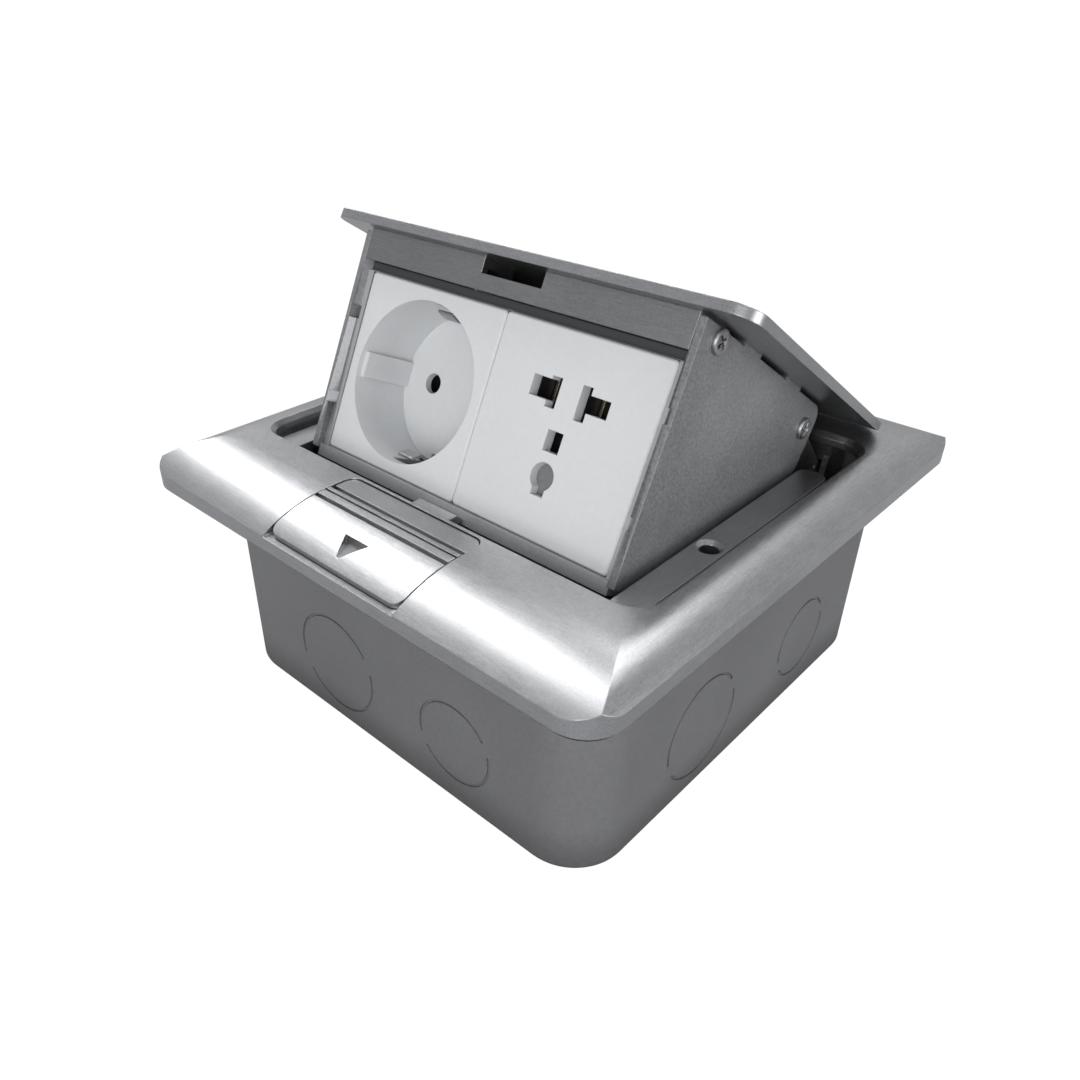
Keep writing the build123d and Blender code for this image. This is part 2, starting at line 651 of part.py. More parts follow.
# Hinge arms inside the side plates, each with the bore for its pin and a hole for the spring leg
for hand, side in (("left", -1), ("right", 1)):
    with BuildPart() as hinge_arm:
        with BuildSketch(across(deck, side * PLATE_IN)):
            with Locations(ARM_MID):
                RectangleRounded(*ARM_FOOT, ARM_CORNER_R)
            with Locations((PIVOT_Y, -PIVOT_DROP)):
                Circle(ARM_END_R)
            make_hull()
            with Locations((PIVOT_Y, -PIVOT_DROP)):
                Circle(PIN_R + PIN_RUN, mode=Mode.SUBTRACT)
            with Locations(SIDE_REAR):
                Circle(SIDE_SCREW_R, mode=Mode.SUBTRACT)
            with Locations((leg_end.Y, leg_end.Z)):
                Circle(SPRING_WIRE / 2 + FIT, mode=Mode.SUBTRACT)
        extrude(amount=-side * ARM_T)
    hinge_arm.part.label = f"hinge_arm_{hand}"
    export_step(hinge_arm.part, f"parts/hinge_arm_{hand}.step")

# Screws of the carriage
for hand, side in (("left", -1), ("right", 1)):
    side_wall = across(deck, side * PLATE_OUT)
    for place, spot_at, length in (("front", SIDE_FRONT, PLATE_T + SIDE_FRONT_LEN),
                                   ("rear", SIDE_REAR, PLATE_T + ARM_T)):
        seat_at = side_wall.from_local_coords(Vector(*spot_at, 0))
        seat = Plane(origin=seat_at, x_dir=deck.y_dir, z_dir=(side, 0, 0))
        with BuildPart() as side_screw:
            add(screw(seat, SIDE_SCREW_R, length, SIDE_HEAD_R, SIDE_HEAD_T))
        side_screw.part.label = f"side_screw_{hand}_{place}"
        export_step(side_screw.part, f"parts/side_screw_{hand}_{place}.step")
    for place, y in (("front", LID_SCREW_Y[0]), ("rear", LID_SCREW_Y[1])):
        under = deck.offset(-LID_T - PLATE_T)
        seat = Plane(origin=under.from_local_coords(Vector(side * LID_SCREW_X, y, 0)), x_dir=deck.x_dir,
                     z_dir=-deck.z_dir)
        with BuildPart() as lid_screw:
            add(screw(seat, LID_SCREW_R, PLATE_T + LID_TAP, LID_HEAD_R, LID_HEAD_T))
        lid_screw.part.label = f"lid_screw_{hand}_{place}"
        export_step(lid_screw.part, f"parts/lid_screw_{hand}_{place}.step")

# Holder that clips between the side plates and carries the two modules
with BuildPart() as module_carrier:
    back = -MODULE_FLANGE - CARRIER_T
    wide = (-PLATE_IN, PLATE_IN)
    add(block(face, wide, (CARRIER_FOOT, CARRIER_TOP), (back, 0)))
    add(block(face, wide, (MODULE, CARRIER_TOP), (-CARRIER_SET_BACK, 1)), mode=Mode.SUBTRACT)
    add(block(face, wide, (CARRIER_FOOT, -FIT), (0, CARRIER_LIP)))
    add(block(face, (-MODULE - SEAM, MODULE + SEAM), (-SEAM, MODULE + SEAM), (-MODULE_FLANGE, 1)),
        mode=Mode.SUBTRACT)
    for middle in (-MODULE / 2, MODULE / 2):
        half = HOUSING / 2 + WINDOW_CLEAR
        add(block(face, (middle - half, middle + half), (MODULE / 2 - half, MODULE / 2 + half), (back, 0)),
            mode=Mode.SUBTRACT)
    for side in (-1, 1):
        cheek = (side * (PLATE_IN - CARRIER_FLANGE_T), side * PLATE_IN)
        add(block(face, cheek, CARRIER_FLANGE_V, (-CARRIER_FLANGE_DEPTH, back)))
        for window in CLIP_V:
            add(block(face, cheek, window, (-CLIP_DEPTH[1], -CLIP_DEPTH[0])), mode=Mode.SUBTRACT)
module_carrier.part.label = "module_carrier"
export_step(module_carrier.part, "parts/module_carrier.step")

# Round earthed socket: cover with the deep cup, guides, pin holes and slots for the earth clips
round_face = spot(face, -MODULE / 2, MODULE / 2)
CUP_BACK = CUP_DEPTH + CUP_FLOOR
with BuildPart() as round_socket_cover:
    with BuildSketch(round_face):
        RectangleRounded(MODULE - SEAM, MODULE - SEAM, 1)
    extrude(amount=-MODULE_FLANGE)
    chamfer(round_socket_cover.faces().sort_by(Axis(round_face.origin, round_face.z_dir))[-1].edges(), 0.4)
    with BuildSketch(round_face.offset(-MODULE_FLANGE / 2)):
        Circle(CUP_R + CUP_WALL)
    extrude(amount=-(CUP_BACK - MODULE_FLANGE / 2))
    with BuildSketch(round_face):
        Circle(CUP_R)
    extrude(amount=-CUP_DEPTH, mode=Mode.SUBTRACT)
    with BuildSketch(round_face.offset(-CUP_DEPTH)):
        with PolarLocations(CUP_R - GUIDE_H / 2 + FIT, 2):
            Rectangle(GUIDE_H + 2 * FIT, GUIDE_W)
    extrude(amount=CUP_DEPTH - 1.5)
    with BuildSketch(round_face.offset(-CUP_DEPTH)):
        with Locations((-PIN_PITCH / 2, 0), (PIN_PITCH / 2, 0)):
            Circle(PIN_HOLE_R)
    extrude(amount=-CUP_FLOOR, mode=Mode.SUBTRACT)
    with BuildSketch(round_face.offset(-CUP_BACK)):
        with PolarLocations(CUP_R, 2, 90):
            Rectangle(2 * CUP_WALL + 2.6, CLIP_SLOT)
    extrude(amount=CUP_BACK - CLIP_TIP, mode=Mode.SUBTRACT)
round_socket_cover.part.label = "round_socket_cover"
export_step(round_socket_cover.part, "parts/round_socket_cover.step")

# Earth strap behind the cup floor with its two spring clips
STRAP_MID = CUP_BACK + FIT + CLIP_T / 2
with BuildPart() as round_socket_earth_strap:
    with BuildSketch(across(round_face, -CLIP_W / 2)):
        with BuildLine():
            Polyline(
                (-CUP_R + 1.6, -CLIP_TIP - 1.2),
                (-CUP_R + 2.6, -CLIP_TIP - 4),
                (-CUP_R + 0.9, -CLIP_TIP - 9),
                (-CUP_R + 0.9, -STRAP_MID),
                (CUP_R - 0.9, -STRAP_MID),
                (CUP_R - 0.9, -CLIP_TIP - 9),
                (CUP_R - 2.6, -CLIP_TIP - 4),
                (CUP_R - 1.6, -CLIP_TIP - 1.2),
            )
            offset(amount=CLIP_T / 2)
        make_face()
    extrude(amount=CLIP_W)
round_socket_earth_strap.part.label = "round_socket_earth_strap"
export_step(round_socket_earth_strap.part, "parts/round_socket_earth_strap.step")

# Housing of the round socket: four corner posts round the cup on a block with the terminals
HOUSE_TOP = CUP_BACK + FIT
with BuildPart() as round_socket_housing:
    with BuildSketch(round_face.offset(-MODULE_FLANGE)):
        RectangleRounded(HOUSING, HOUSING, 2)
        Circle(CUP_R + CUP_WALL + FIT, mode=Mode.SUBTRACT)
    extrude(amount=-(HOUSE_TOP - MODULE_FLANGE))
    with BuildSketch(round_face.offset(-HOUSE_TOP)):
        RectangleRounded(HOUSING, HOUSING, 2)
    extrude(amount=-(HOUSING_DEPTH - HOUSE_TOP))
    strap_half = CLIP_W / 2 + FIT
    strap_depth = (-HOUSE_TOP - CLIP_T - FIT, -HOUSE_TOP)
    add(block(round_face, (-strap_half, strap_half), (-CUP_R, CUP_R), strap_depth), mode=Mode.SUBTRACT)
    for x in (-PIN_PITCH / 2, PIN_PITCH / 2):
        add(block(round_face, (x - POCKET_W / 2, x + POCKET_W / 2), (-POCKET_L / 2, POCKET_L / 2),
                  (-HOUSE_TOP - CONTACT_LEN - FIT, -HOUSE_TOP)), mode=Mode.SUBTRACT)
round_socket_housing.part.label = "round_socket_housing"
export_step(round_socket_housing.part, "parts/round_socket_housing.step")

# Brass contacts of the round socket, one behind each pin hole
for hand, side in (("left", -1), ("right", 1)):
    with BuildPart() as round_contact:
        middle = side * PIN_PITCH / 2
        outer = CONTACT_OPEN / 2 + CONTACT_T
        add(block(round_face, (middle - CONTACT_W / 2, middle + CONTACT_W / 2), (-outer, outer),
                  (-HOUSE_TOP - CONTACT_LEN - FIT, -HOUSE_TOP - FIT)))
        add(block(round_face, (middle - CONTACT_W / 2, middle + CONTACT_W / 2),
                  (-CONTACT_OPEN / 2, CONTACT_OPEN / 2),
                  (-HOUSE_TOP - CONTACT_LEN - FIT + CONTACT_T, -HOUSE_TOP)), mode=Mode.SUBTRACT)
    round_contact.part.label = f"round_socket_contact_{hand}"
    export_step(round_contact.part, f"parts/round_socket_contact_{hand}.step")

# Universal socket: openings of the cover, measured from the seam and the foot of the module
universal_face = spot(face, 0, 0)
with BuildPart() as universal_socket_cover:
    with BuildSketch(spot(face, MODULE / 2, MODULE / 2)):
        RectangleRounded(MODULE - SEAM, MODULE - SEAM, 1)
    extrude(amount=-MODULE_FLANGE)
    chamfer(universal_socket_cover.faces().sort_by(Axis(face.origin, face.z_dir))[-1].edges(), 0.4)
    for across_range, up_range in UNIVERSAL_OPENINGS:
        add(block(universal_face, across_range, up_range, (-MODULE_FLANGE, 1)), mode=Mode.SUBTRACT)
    with BuildSketch(universal_face):
        with Locations(UNIVERSAL_EARTH):
            Circle(UNIVERSAL_EARTH_R)
    extrude(amount=-MODULE_FLANGE, mode=Mode.SUBTRACT)
universal_socket_cover.part.label = "universal_socket_cover"
export_step(universal_socket_cover.part, "parts/universal_socket_cover.step")

# Shutter behind the cover
SHUTTER_TOP = MODULE_FLANGE + FIT
with BuildPart() as universal_shutter:
    add(block(universal_face, SHUTTER_X, SHUTTER_V, (-SHUTTER_TOP - SHUTTER_T, -SHUTTER_TOP)))
universal_shutter.part.label = "universal_shutter"
export_step(universal_shutter.part, "parts/universal_shutter.step")

# Housing of the universal socket with the shutter bed and three contact pockets
BED = SHUTTER_TOP + SHUTTER_T
with BuildPart() as universal_socket_housing:
    with BuildSketch(spot(face, MODULE / 2, MODULE / 2).offset(-MODULE_FLANGE)):
        RectangleRounded(HOUSING, HOUSING, 2)
    extrude(amount=-(HOUSING_DEPTH - MODULE_FLANGE))
    bed_x = (SHUTTER_X[0] - FIT, SHUTTER_X[1] + FIT)
    bed_v = (SHUTTER_V[0] - FIT, SHUTTER_V[1] + FIT)
    add(block(universal_face, bed_x, bed_v, (-BED, 0)), mode=Mode.SUBTRACT)
    for kind, (x, v), (wide, high) in UNIVERSAL_POCKETS:
        add(block(universal_face, (x - wide / 2, x + wide / 2), (v - high / 2, v + high / 2),
                  (-BED - POCKET_DEPTH, -BED)), mode=Mode.SUBTRACT)
universal_socket_housing.part.label = "universal_socket_housing"
export_step(universal_socket_housing.part, "parts/universal_socket_housing.step")

for kind, (x, v), (wide, high) in UNIVERSAL_POCKETS:
    with BuildPart() as universal_contact:
        base = -BED - POCKET_DEPTH
        half = wide / 2 - FIT
        leaf = half - CONTACT_T
        up_range = (v - high / 2 + 1, v + high / 2 - 1)
        add(block(universal_face, (x - half, x + half), up_range, (base, base + CONTACT_LEN)))
        gap_v = (v - high / 2, v + high / 2)
        add(block(universal_face, (x - leaf, x + leaf), gap_v, (base + CONTACT_T, 0)), mode=Mode.SUBTRACT)
    universal_contact.part.label = f"universal_contact_{kind}"
    export_step(universal_contact.part, f"parts/universal_contact_{kind}.step")

# Hinge brackets under the rear rail: a base with two ears that hold the pin
BRACKET_TOP = SEAT_DROP - LUG_T / 2
for hand, side in (("left", -1), ("right", 1)):
    with BuildPart() as bracket:
        base_z = (-BRACKET_TOP - EAR_T, -BRACKET_TOP)
        add(block(top, (side * EAR_IN[0], side * EAR_OUT[1]), BRACKET_Y, base_z))
        for near, far in (EAR_IN, EAR_OUT):
            with BuildSketch(across(top, side * near)):
                with Locations(((BRACKET_Y[0] + BRACKET_Y[1]) / 2, -BRACKET_TOP - EAR_T / 2)):
                    Rectangle(BRACKET_Y[1] - BRACKET_Y[0], EAR_T)
                with Locations((PIVOT_Y, -PIVOT_DROP)):
                    Circle(ARM_END_R)
                make_hull()
            extrude(amount=side * (far - near))
        with BuildSketch(across(top, 0)):
            with Locations((PIVOT_Y, -PIVOT_DROP)):
                Circle(PIN_R)
        extrude(amount=side * PLATE_OUT * 2, mode=Mode.SUBTRACT)
        with BuildSketch(across(top, side * EAR_IN[0])):
            with Locations((PIVOT_Y - SPRING_R, -PIVOT_DROP + SPRING_LEG_UP)):
                Circle(SPRING_WIRE / 2 + FIT)
        extrude(amount=side * EAR_T, mode=Mode.SUBTRACT)
        with BuildSketch(top.offset(-BRACKET_TOP)):
            with Locations(*[(side * x, PIVOT_Y + 1) for x in BASE_SCREW_X]):
                Circle(BASE_SCREW_R)
        extrude(amount=-EAR_T, mode=Mode.SUBTRACT)
    bracket.part.label = f"hinge_bracket_{hand}"
    export_step(bracket.part, f"parts/hinge_bracket_{hand}.step")
    with BuildPart() as hinge_pin:
        with BuildSketch(across(top, side * (EAR_IN[0] - PIN_HEAD_T))):
            with Locations((PIVOT_Y, -PIVOT_DROP)):
                Circle(PIN_R + PIN_HEAD_T)
        extrude(amount=side * PIN_HEAD_T)
        with BuildSketch(across(top, side * EAR_IN[0])):
            with Locations((PIVOT_Y, -PIVOT_DROP)):
                Circle(PIN_R)
        extrude(amount=side * (EAR_OUT[1] - EAR_IN[0] + PIN_HEAD_T))
        chamfer(hinge_pin.edges().filter_by(GeomType.CIRCLE).sort_by(Axis.X)[-1 if side > 0 else 0], 0.4)
    hinge_pin.part.label = f"hinge_pin_{hand}"
    export_step(hinge_pin.part, f"parts/hinge_pin_{hand}.step")
    for place, x in zip(("inner", "outer"), BASE_SCREW_X):
        under = top.offset(-BRACKET_TOP - EAR_T)
        seat = Plane(origin=under.from_local_coords(Vector(side * x, PIVOT_Y + 1, 0)), z_dir=(0, 0, -1))
        with BuildPart() as base_screw:
            add(screw(seat, BASE_SCREW_R, EAR_T + BASE_SCREW_LEN, LID_HEAD_R, LID_HEAD_T))
        base_screw.part.label = f"bracket_screw_{hand}_{place}"
        export_step(base_screw.part, f"parts/bracket_screw_{hand}_{place}.step")

# Torsion springs round the pins
for hand in ("left", "right"):
    with BuildPart() as torsion_spring:
        add(spring_form.part if hand == "right" else mirror(spring_form.part, about=Plane.YZ))
    torsion_spring.part.label = f"torsion_spring_{hand}"
    export_step(torsion_spring.part, f"parts/torsion_spring_{hand}.step")

# Latch button that fills the slot of the front rail
BUTTON_REAR = SLOT_REAR + SLOT_CLEAR
BUTTON_LOW = SLOT_DROP - BUTTON_SKIM
TONGUE_LOW = SLOT_DROP - TONGUE_RISE
TONGUE_TOP = TONGUE_LOW - TONGUE_T
CHANNEL_FRONT = COIL_FRONT + COIL_LUG + 0.5
with BuildPart() as latch_button:
    with BuildSketch(top.offset(-BUTTON_LOW)):
        with Locations((0, -(BUTTON_FRONT + BUTTON_REAR) / 2)):
            RectangleRounded(2 * BUTTON_HALF_W, BUTTON_FRONT - BUTTON_REAR, SLOT_R - SLOT_CLEAR)
    extrude(amount=BUTTON_LOW)
    add(outer_form, mode=Mode.INTERSECT)
    add(block(top, (-BUTTON_HALF_W, BUTTON_HALF_W), (-RIDGE_Y[0], -BUTTON_REAR), (-STRIP_DROP, 1)),
        mode=Mode.SUBTRACT)
    for y in RIDGE_Y:
        add(block(top, (-BUTTON_HALF_W, BUTTON_HALF_W), (-y - RIDGE_W, -y), (-RIDGE_DEPTH, 1)),
            mode=Mode.SUBTRACT)
    with BuildSketch(top.offset(-MARK_FLOOR)):
        with BuildLine():
            Polyline((-MARK_HALF_W, -MARK_BASE_Y), (MARK_HALF_W, -MARK_BASE_Y), (0, -MARK_TIP_Y), close=True)
        make_face()
    extrude(amount=MARK_FLOOR, mode=Mode.SUBTRACT)
    add(block(top, (-TONGUE_HEAD_HALF_W, TONGUE_HEAD_HALF_W), (-TONGUE_TAIL, -TONGUE_HEAD_REAR),
              (-BUTTON_LOW, -TONGUE_TOP)), mode=Mode.SUBTRACT)
    add(block(top, (-TONGUE_HALF_W, TONGUE_HALF_W), (-TONGUE_HEAD_REAR, -BUTTON_REAR),
              (-BUTTON_LOW, -TONGUE_TOP)), mode=Mode.SUBTRACT)
    for side in (-1, 1):
        add(block(top, (side * COIL_X - CHANNEL_W / 2, side * COIL_X + CHANNEL_W / 2),
                  (-CHANNEL_FRONT, -COIL_REAR), (-BUTTON_LOW, -CHANNEL_TOP)), mode=Mode.SUBTRACT)
    with BuildSketch(top.offset(-TONGUE_TOP)):
        with Locations(*[(s * LATCH_SCREW_X, -LATCH_SCREW_Y) for s in (-1, 1)]):
            Circle(LATCH_SCREW_R)
    extrude(amount=1.4, mode=Mode.SUBTRACT)
latch_button.part.label = "latch_button"
export_step(latch_button.part, "parts/latch_button.step")

# Tongue of the latch, a tee whose head sits in the button, bevelled above at its tip
with BuildPart() as latch_tongue:
    tongue_z = (-TONGUE_LOW, -TONGUE_TOP)
    head_x = (-TONGUE_HEAD_HALF_W, TONGUE_HEAD_HALF_W)
    add(block(top, head_x, (-TONGUE_TAIL, -TONGUE_HEAD_REAR), tongue_z))
    add(block(top, (-TONGUE_HALF_W, TONGUE_HALF_W), (-TONGUE_HEAD_REAR, -TONGUE_TIP), tongue_z))
    tip = latch_tongue.edges().filter_by(Axis.X).sort_by(lambda e: e.center().Y + e.center().Z)[-1]
    chamfer(tip, TONGUE_T * 0.8)
    with BuildSketch(top.offset(-TONGUE_LOW)):
        with Locations(*[(s * LATCH_SCREW_X, -LATCH_SCREW_Y) for s in (-1, 1)]):
            Circle(LATCH_SCREW_R)
    extrude(amount=TONGUE_T, mode=Mode.SUBTRACT)
latch_tongue.part.label = "latch_tongue"
export_step(latch_tongue.part, "parts/latch_tongue.step")

# Plate under the slot floor, with two collars that run in the slots of the floor
SLIDE_TOP = FLOOR_LOW + PLATE_GAP
with BuildPart() as latch_slide_plate:
    plate_z = (-SLIDE_TOP - SLIDE_PLATE_T, -SLIDE_TOP)
    add(block(top, (-SLIDE_PLATE_HALF_W, SLIDE_PLATE_HALF_W), SLIDE_Y, plate_z))
    with BuildSketch(top.offset(-SLIDE_TOP)):
        with Locations(*[(s * LATCH_SCREW_X, -LATCH_SCREW_Y) for s in (-1, 1)]):
            Circle(COLLAR_R)
    extrude(amount=SLIDE_TOP - TONGUE_LOW)
    with Locations(*[(s * LATCH_SCREW_X, -LATCH_SCREW_Y, TOP - SLIDE_TOP - SLIDE_PLATE_T) for s in (-1, 1)]):
        Cylinder(LATCH_SCREW_R, SLIDE_TOP + SLIDE_PLATE_T, align=(Align.CENTER, Align.CENTER, Align.MIN),
                 mode=Mode.SUBTRACT)
        Cone(LATCH_HEAD_R, LATCH_SCREW_R, LATCH_HEAD_R - LATCH_SCREW_R,
             align=(Align.CENTER, Align.CENTER, Align.MIN), mode=Mode.SUBTRACT)
latch_slide_plate.part.label = "latch_slide_plate"
export_step(latch_slide_plate.part, "parts/latch_slide_plate.step")

for hand, side in (("left", -1), ("right", 1)):
    foot_z = TOP - SLIDE_TOP - SLIDE_PLATE_T
    with BuildPart() as latch_screw:
        with Locations((side * LATCH_SCREW_X, -LATCH_SCREW_Y, foot_z)):
            Cone(LATCH_HEAD_R, LATCH_SCREW_R, LATCH_HEAD_R - LATCH_SCREW_R,
                 align=(Align.CENTER, Align.CENTER, Align.MIN))
            Cylinder(LATCH_SCREW_R, SLIDE_TOP + SLIDE_PLATE_T - TONGUE_TOP + 1.2,
                     align=(Align.CENTER, Align.CENTER, Align.MIN))
    latch_screw.part.label = f"latch_screw_{hand}"
    export_step(latch_screw.part, f"parts/latch_screw_{hand}.step")
    with BuildPart() as latch_spring:
        coil_len = COIL_FRONT - COIL_REAR - COIL_WIRE
        coil_foot = (side * COIL_X, -COIL_FRONT + COIL_WIRE / 2, TOP - SLOT_DROP + COIL_R + COIL_WIRE)
        line = Plane(origin=coil_foot, x_dir=(1, 0, 0), z_dir=(0, 1, 0))
        coil = line * Helix(coil_len / COIL_TURNS, coil_len, COIL_R)
        with BuildSketch(Plane(origin=coil @ 0, z_dir=coil % 0)):
            Circle(COIL_WIRE / 2)
        sweep(path=Wire([coil]))
    latch_spring.part.label = f"latch_spring_{hand}"
    export_step(latch_spring.part, f"parts/latch_spring_{hand}.step")
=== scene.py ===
"""Looks of the floor socket box: finishes, finer pieces, floor, light and camera."""
import bpy
from math import radians
from mathutils import Matrix, Vector


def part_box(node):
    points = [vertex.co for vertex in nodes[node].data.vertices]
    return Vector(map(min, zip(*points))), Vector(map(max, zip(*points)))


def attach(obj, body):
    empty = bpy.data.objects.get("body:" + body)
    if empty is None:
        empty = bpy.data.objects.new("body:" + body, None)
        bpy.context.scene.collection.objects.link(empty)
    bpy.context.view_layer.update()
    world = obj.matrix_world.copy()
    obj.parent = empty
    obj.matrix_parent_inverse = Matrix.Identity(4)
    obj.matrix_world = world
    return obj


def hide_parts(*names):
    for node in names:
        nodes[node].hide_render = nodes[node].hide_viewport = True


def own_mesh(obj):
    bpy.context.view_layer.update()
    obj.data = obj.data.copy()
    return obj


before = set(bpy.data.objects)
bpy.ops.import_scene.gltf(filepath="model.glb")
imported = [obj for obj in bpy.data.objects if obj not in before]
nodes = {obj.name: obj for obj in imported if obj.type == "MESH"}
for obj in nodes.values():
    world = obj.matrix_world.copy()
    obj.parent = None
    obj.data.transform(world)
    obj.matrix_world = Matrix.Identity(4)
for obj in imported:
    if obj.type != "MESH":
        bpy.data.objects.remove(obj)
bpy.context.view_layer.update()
MM = 0.001

# Face of the modules: the middle of its lower edge, and its directions up and out
FACE_AT = Vector((0, -40.31, 61.66)) * MM
FACE_UP = Vector((0, 0.4274, 0.9041))
FACE_OUT = Vector((0, -0.9041, 0.4274))
FACE_TURN = Matrix((Vector((1, 0, 0)), FACE_UP, FACE_OUT)).transposed().to_4x4()
ON_FACE = Matrix.Translation(FACE_AT) @ FACE_TURN

FRAME_HALF_W, FRAME_HALF_D = 71.3 * MM, 77.2 * MM
EDGE_ROUNDING = 0.3 * MM
ROUGHNESS_BELOW, ROUGHNESS_ABOVE = 0.05, 0.06

# Satin metal: scales of the grain, the speck and the slow change of tone
GRAIN_FINE, GRAIN_LONG = 5200.0, 260.0
SATIN_SPECK = 2100.0
METAL_CLOUD = 45.0
SATIN_RELIEF = 0.0045 * MM
SATIN_DARK, SATIN_LIGHT = 0.76, 1.14
COAT_CLOUD = 30.0

# Painted shade on the holder's top border, in the recess under the top rail: where it starts on
# the modules' face, and its colour
HOLDER_PAINTED_SHADE_FROM = 45.2 * MM
HOLDER_PAINTED_SHADE = (0.045, 0.046, 0.048, 1)
# Painted shade along the box's foot: the heights over which it fades in, and its darkest share
FOOT_LOW, FOOT_HIGH, FOOT_SHADE = 1 * MM, 14 * MM, 0.62


def new_material(name, color, metallic, roughness):
    """Makes a material and gives it back with its shader."""
    material = bpy.data.materials.new(name)
    material.use_nodes = True
    shader = material.node_tree.nodes["Principled BSDF"]
    shader.inputs["Base Color"].default_value = (*color, 1)
    shader.inputs["Metallic"].default_value = metallic
    shader.inputs["Roughness"].default_value = roughness
    return material, shader


def node(material, kind, **values):
    """Adds a node and sets its inputs by name."""
    made = material.node_tree.nodes.new(kind)
    for key, value in values.items():
        made.inputs[key.replace("_", " ")].default_value = value
    return made


def link(material, source, target):
    """Joins two sockets."""
    material.node_tree.links.new(source, target)


def place_on(material, scale):
    """Gives the object's own coordinates, stretched by a scale."""
    place = node(material, "ShaderNodeTexCoord")
    mapping = node(material, "ShaderNodeMapping", Scale=scale)
    link(material, place.outputs["Object"], mapping.inputs["Vector"])
    return mapping.outputs["Vector"]


def place_parts(material):
    """Gives X, Y and Z of the object's own coordinates."""
    place = node(material, "ShaderNodeTexCoord")
    parts = node(material, "ShaderNodeSeparateXYZ")
    link(material, place.outputs["Object"], parts.inputs["Vector"])
    return parts.outputs


def noise(material, scale, detail, stretch=(1, 1, 1)):
    """Adds a noise pattern on the object's own coordinates."""
    made = node(material, "ShaderNodeTexNoise", Scale=scale, Detail=detail)
    link(material, place_on(material, stretch), made.inputs["Vector"])
    return made.outputs["Fac"]


def spread(material, value, low, high):
    """Maps a noise value to a range."""
    made = node(material, "ShaderNodeMapRange", From_Min=0.3, From_Max=0.7, To_Min=low,
                To_Max=high)
    link(material, value, made.inputs["Value"])
    return made.outputs["Result"]


def math_node(material, operation, first, second=None):
    """Adds one step of arithmetic on sockets or numbers."""
    made = material.node_tree.nodes.new("ShaderNodeMath")
    made.operation = operation
    for place, value in enumerate((first, second)):
        if value is None:
            continue
        if isinstance(value, (int, float)):
            made.inputs[place].default_value = value
        else:
            link(material, value, made.inputs[place])
    return made.outputs[0]


def blend(material, first, share, second):
    """Adds two patterns, the first by its share and the second by the rest."""
    return math_node(material, "ADD", math_node(material, "MULTIPLY", first, share),
                     math_node(material, "MULTIPLY", second, 1 - share))


def mix_colors(material, factor, first, second, way="MIX"):
    """Mixes two colours, each a colour or a socket, by a number or a socket."""
    made = material.node_tree.nodes.new("ShaderNodeMix")
    made.data_type = "RGBA"
    made.blend_type = way
    for key, value in (("Factor", factor), ("A", first), ("B", second)):
        if isinstance(value, (float, tuple)):
            made.inputs[key].default_value = value
        else:
            link(material, value, made.inputs[key])
    return made.outputs["Result"]


def color_by(material, shader, pattern, dark, light):
    """Colours a shader from dark to light by a pattern."""
    factor = spread(material, pattern, 0, 1)
    link(material, mix_colors(material, factor, (*dark, 1), (*light, 1)),
         shader.inputs["Base Color"])


def roughen_by(material, shader, pattern, roughness):
    """Lets the roughness of a shader follow a pattern."""
    low, high = roughness - ROUGHNESS_BELOW, roughness + ROUGHNESS_ABOVE
    link(material, spread(material, pattern, low, high), shader.inputs["Roughness"])


def relief(material, shader, height, distance):
    """Raises the surface by a pattern, over edges that a small radius rounds off."""
    bump = node(material, "ShaderNodeBump", Strength=1.0, Distance=distance)
    link(material, height, bump.inputs["Height"])
    edge = node(material, "ShaderNodeBevel", Radius=EDGE_ROUNDING)
    edge.samples = 4
    link(material, edge.outputs["Normal"], bump.inputs["Normal"])
    link(material, bump.outputs["Normal"], shader.inputs["Normal"])


def rail_grain(material, along_x):
    """Turns the grain along Y on the two side rails of the frame."""
    along_y = noise(material, 1.0, 2.0, (GRAIN_FINE, GRAIN_LONG, GRAIN_FINE))
    parts = place_parts(material)
    from_side = math_node(material, "SUBTRACT", math_node(material, "ABSOLUTE", parts["X"]),
                          FRAME_HALF_W)
    from_end = math_node(material, "SUBTRACT", math_node(material, "ABSOLUTE", parts["Y"]),
                         FRAME_HALF_D)
    on_end = math_node(material, "GREATER_THAN", from_end, from_side)
    mix = material.node_tree.nodes.new("ShaderNodeMix")
    link(material, on_end, mix.inputs["Factor"])
    link(material, along_y, mix.inputs["A"])
    link(material, along_x, mix.inputs["B"])
    return mix.outputs["Result"]


def brushed(name, color, roughness, by_rail):
    """Satin aluminium: a fine speck over a faint grain along X or along each rail."""
    material, shader = new_material(name, color, 1.0, roughness)
    grain = noise(material, 1.0, 2.0, (GRAIN_LONG, GRAIN_FINE, GRAIN_FINE))
    if by_rail:
        grain = rail_grain(material, grain)
    speck = noise(material, SATIN_SPECK, 1.0)
    cloud = noise(material, METAL_CLOUD, 2.0)
    surface = blend(material, grain, 0.55, speck)
    roughen_by(material, shader, surface, roughness)
    dark = tuple(SATIN_DARK * c for c in color)
    light = tuple(min(1.0, SATIN_LIGHT * c) for c in color)
    color_by(material, shader, blend(material, surface, 0.75, cloud), dark, light)
    relief(material, shader, surface, SATIN_RELIEF)
    return material


def speckled(name, dark, light, roughness, grain_scale, depth, metallic=0.0):
    """Coat, plain metal or moulded plastic: grain in relief and a slow change of tone."""
    material, shader = new_material(name, light, metallic, roughness)
    fine = noise(material, grain_scale, 2.0)
    cloud = noise(material, COAT_CLOUD, 3.0)
    color_by(material, shader, blend(material, fine, 0.5, cloud), dark, light)
    roughen_by(material, shader, fine, roughness)
    relief(material, shader, fine, depth * MM)
    return material


